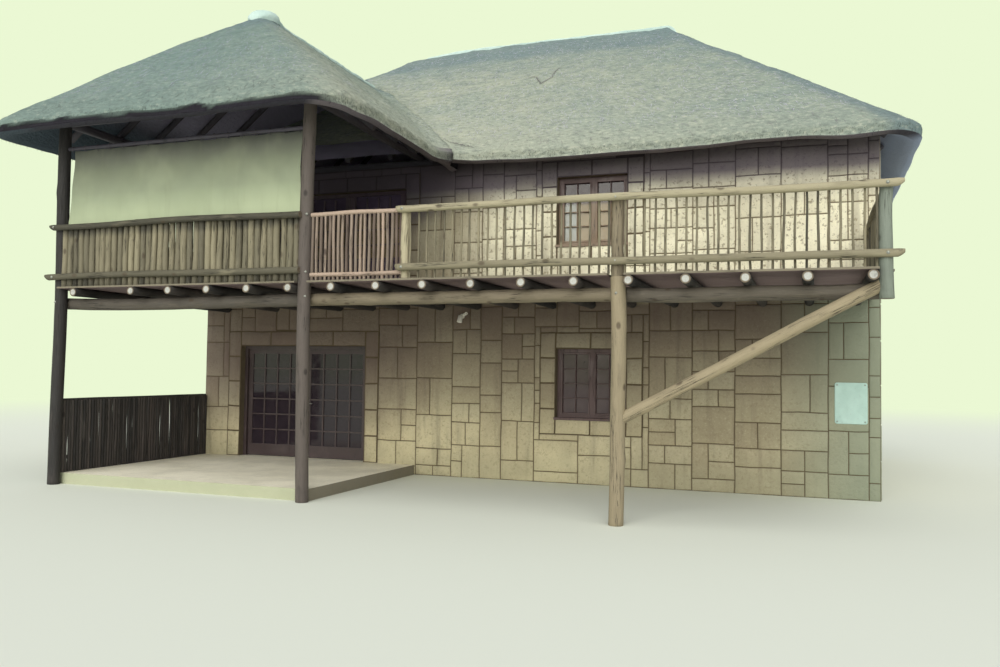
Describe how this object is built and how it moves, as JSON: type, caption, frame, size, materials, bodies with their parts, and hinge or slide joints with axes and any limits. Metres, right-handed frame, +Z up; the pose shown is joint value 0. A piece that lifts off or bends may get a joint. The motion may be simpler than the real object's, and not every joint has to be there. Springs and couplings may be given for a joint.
{
  "type": "two-storey thatched house with pole balcony",
  "caption": "Two-storey stone-clad house with a hipped thatch roof, a hipped wing roof and a round-pole balcony on posts, with a hinged double door below.",
  "frame": {"origin": "centre of the main block's footprint at ground level", "axes": "+X along the front wall to the right as seen from the front, +Y to the back, +Z up"},
  "size_m": [13.5894, 12.6289, 9.0308],
  "materials": {
    "concrete": "worn floated concrete",
    "stone_cladding": "matt moulded stone slabs with recessed joints",
    "dark_wood": "dark brown varnish, satin",
    "glass": "clear window glass",
    "deck_boards": "weathered timber boards",
    "grey_poles": "weathered round poles, grey brown",
    "brown_poles": "weathered round poles, tan",
    "straw_poles": "weathered round poles, straw",
    "red_poles": "stained round poles, reddish",
    "canvas": "sage canvas, matt",
    "thatch": "weathered grass thatch, matt",
    "mortar": "pale mortar cap, matt",
    "lamp_metal": "satin"
  },
  "bodies": {
    "house": {"floor_slab": "concrete", "stoep_slab": "concrete", "upper_floor": "concrete", "front_wall_left": "stone_cladding", "front_wall_over_door": "stone_cladding", "front_wall_right": "stone_cladding", "upper_front_wall": "stone_cladding", "left_wall": "stone_cladding", "right_wall": "stone_cladding", "rear_wall": "stone_cladding", "door_frame": "dark_wood", "upper_door_frame": "dark_wood", "upper_door_glass": "glass", "front_window_frames": "dark_wood", "front_window_glass": "glass", "side_window_frames": "dark_wood", "side_window_glass": "glass", "rear_window_frames": "dark_wood", "rear_window_glass": "glass", "deck_boards": "deck_boards", "deck_joists": "grey_poles", "front_beam": "brown_poles", "left_post": "grey_poles", "middle_post": "grey_poles", "right_post": "brown_poles", "corner_post": "brown_poles", "start_post": "straw_poles", "brace": "brown_poles", "front_left_railing": "straw_poles", "left_side_railing": "straw_poles", "front_middle_railing": "red_poles", "front_right_railing": "straw_poles", "right_end_railing": "straw_poles", "stoep_screen": "grey_poles", "canvas_blind": "canvas", "blind_pole": "brown_poles", "wing_plates": "grey_poles", "wing_rafters": "grey_poles", "wing_thatch": "thatch", "wing_ridge_cap": "mortar", "wall_plates": "brown_poles", "main_rafters": "brown_poles", "main_thatch": "thatch", "main_ridge_cap": "mortar", "wall_light": "lamp_metal"},
    "door_left": {"door_leaf_left": "dark_wood", "door_glass_left": "glass"},
    "door_right": {"door_leaf_right": "dark_wood", "door_glass_right": "glass", "door_handle": "lamp_metal"}
  },
  "joints": [
    {"name": "door_left_hinge", "type": "hinge", "parent": "house", "child": "door_left", "pos_m": [-5.186, -3.574, 0.17], "axis": [0, 0, 1], "range_deg": [0, 95]},
    {"name": "door_right_hinge", "type": "hinge", "parent": "house", "child": "door_right", "pos_m": [-2.614, -3.574, 0.17], "axis": [0, 0, -1], "range_deg": [0, 95]}
  ]
}
